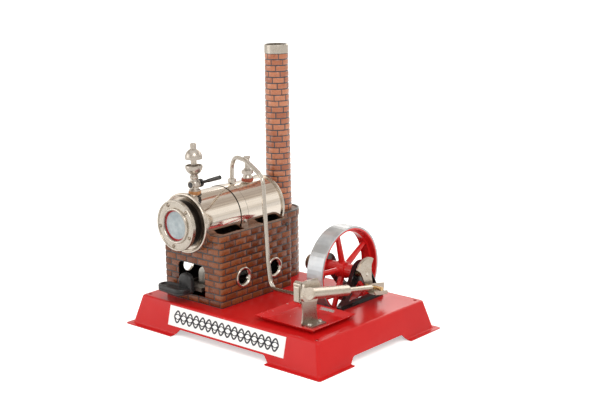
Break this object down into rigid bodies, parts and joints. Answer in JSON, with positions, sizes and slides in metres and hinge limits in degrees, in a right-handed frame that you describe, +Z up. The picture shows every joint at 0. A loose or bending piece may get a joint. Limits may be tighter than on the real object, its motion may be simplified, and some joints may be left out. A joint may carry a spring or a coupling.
{
  "type": "model steam engine",
  "caption": "Toy steam engine on a red pressed base: brick boiler house and chimney, drum boiler, whistle, safety valve, oscillating cylinder and flywheel.",
  "frame": {"origin": "centre of the underside of the base", "axes": "+X along the labelled front side, +Y from the sight glass to the chimney, +Z up"},
  "size_m": [0.205, 0.1484, 0.2176],
  "materials": {
    "red_enamel": "gloss stoved enamel on pressed steel",
    "label_white": "gloss, blank with a plain border",
    "brick_print": "gloss lithographed brickwork with dark joints",
    "chimney_print": "gloss lithographed brickwork, lighter",
    "cover_brown": "satin",
    "bright_nickel": "polished nickel plate",
    "satin_nickel": "satin nickel plate",
    "plain_steel": "plain bright steel",
    "sooty_steel": "heat-stained sheet steel",
    "sight_glass": "clear, water behind it",
    "red_seal": "red sealing ring",
    "fibre_seal": "brown fibre washer",
    "black_enamel": "gloss black",
    "black_handle": "satin black",
    "fuel_white": "pressed white fuel tablet",
    "brass": "turned",
    "wheel_red": "red centre, zinc-grey rim"
  },
  "bodies": {
    "frame": {"base_plate": "red_enamel", "label_plate": "label_white", "boiler_house": "brick_print", "house_top": "brick_print", "side_vent_rings": "bright_nickel", "house_rivets": "black_enamel", "chimney_base": "brick_print", "chimney_base_cover": "cover_brown", "chimney": "chimney_print", "chimney_cap": "bright_nickel", "boiler_drum": "bright_nickel", "boiler_front_cap": "bright_nickel", "boiler_back_cap": "bright_nickel", "gauge_ring": "bright_nickel", "gauge_glass": "sight_glass", "gauge_gasket": "red_seal", "gauge_screws": "plain_steel", "boiler_strap": "bright_nickel", "strap_screws": "plain_steel", "whistle_gasket": "fibre_seal", "whistle_body": "bright_nickel", "whistle_cup": "bright_nickel", "whistle_stem": "satin_nickel", "whistle_bell": "bright_nickel", "valve_gasket": "fibre_seal", "valve_body": "bright_nickel", "valve_spring": "plain_steel", "pipe_union_nut": "bright_nickel", "steam_pipe": "bright_nickel", "pipe_ferrule": "bright_nickel", "burner_guide": "sooty_steel", "drip_tray": "red_enamel", "engine_stand": "satin_nickel", "stand_screws": "plain_steel", "port_block": "satin_nickel", "near_bearing_stand": "black_enamel", "far_bearing_stand": "black_enamel", "bearing_bushes": "brass"},
    "wheel_set": {"flywheel": "wheel_red", "axle": "plain_steel", "crank_disc": "bright_nickel", "crank_pin": "brass", "pulley": "brass"},
    "cylinder": {"engine_cylinder": "bright_nickel", "cylinder_rear_cap": "bright_nickel", "cylinder_gland": "bright_nickel", "pivot_pin": "plain_steel", "pivot_spring": "plain_steel", "pivot_nut": "bright_nickel"},
    "piston_set": {"piston": "brass", "piston_rod": "satin_nickel", "rod_end_bush": "brass"},
    "whistle_handle": {"whistle_plug": "black_enamel", "whistle_lever": "black_enamel"},
    "valve_plunger": {"valve_stem": "bright_nickel"},
    "burner": {"burner_tray": "sooty_steel", "fuel_basket": "satin_nickel", "fuel_tablets": "fuel_white", "burner_handle": "black_handle"}
  },
  "joints": [
    {"name": "flywheel_spin", "type": "hinge", "parent": "frame", "child": "wheel_set", "pos_m": [0.0415, 0.0273, 0.0483], "axis": [1, 0, 0], "continuous": true},
    {"name": "cylinder_swing", "type": "hinge", "parent": "frame", "child": "cylinder", "pos_m": [0.062, -0.0375, 0.0504], "axis": [1, 0, 0], "range_deg": [-0.8, 17.4]},
    {"name": "piston_slide", "type": "slide", "parent": "cylinder", "child": "piston_set", "axis": [0, 0.9842, -0.1769], "range_m": [-0.0138, 0.0067]},
    {"name": "whistle_turn", "type": "hinge", "parent": "frame", "child": "whistle_handle", "pos_m": [-0.0461, -0.0424, 0.1176], "axis": [0, 1, 0], "range_deg": [-20, 28]},
    {"name": "valve_lift", "type": "slide", "parent": "frame", "child": "valve_plunger", "axis": [0, 0, 1], "range_m": [0, 0.002], "stiffness_N_per_m": 60, "deforming": ["valve_spring"]},
    {"name": "burner_slide", "type": "slide", "parent": "frame", "child": "burner", "axis": [0, -1, 0], "range_m": [0, 0.065]}
  ]
}
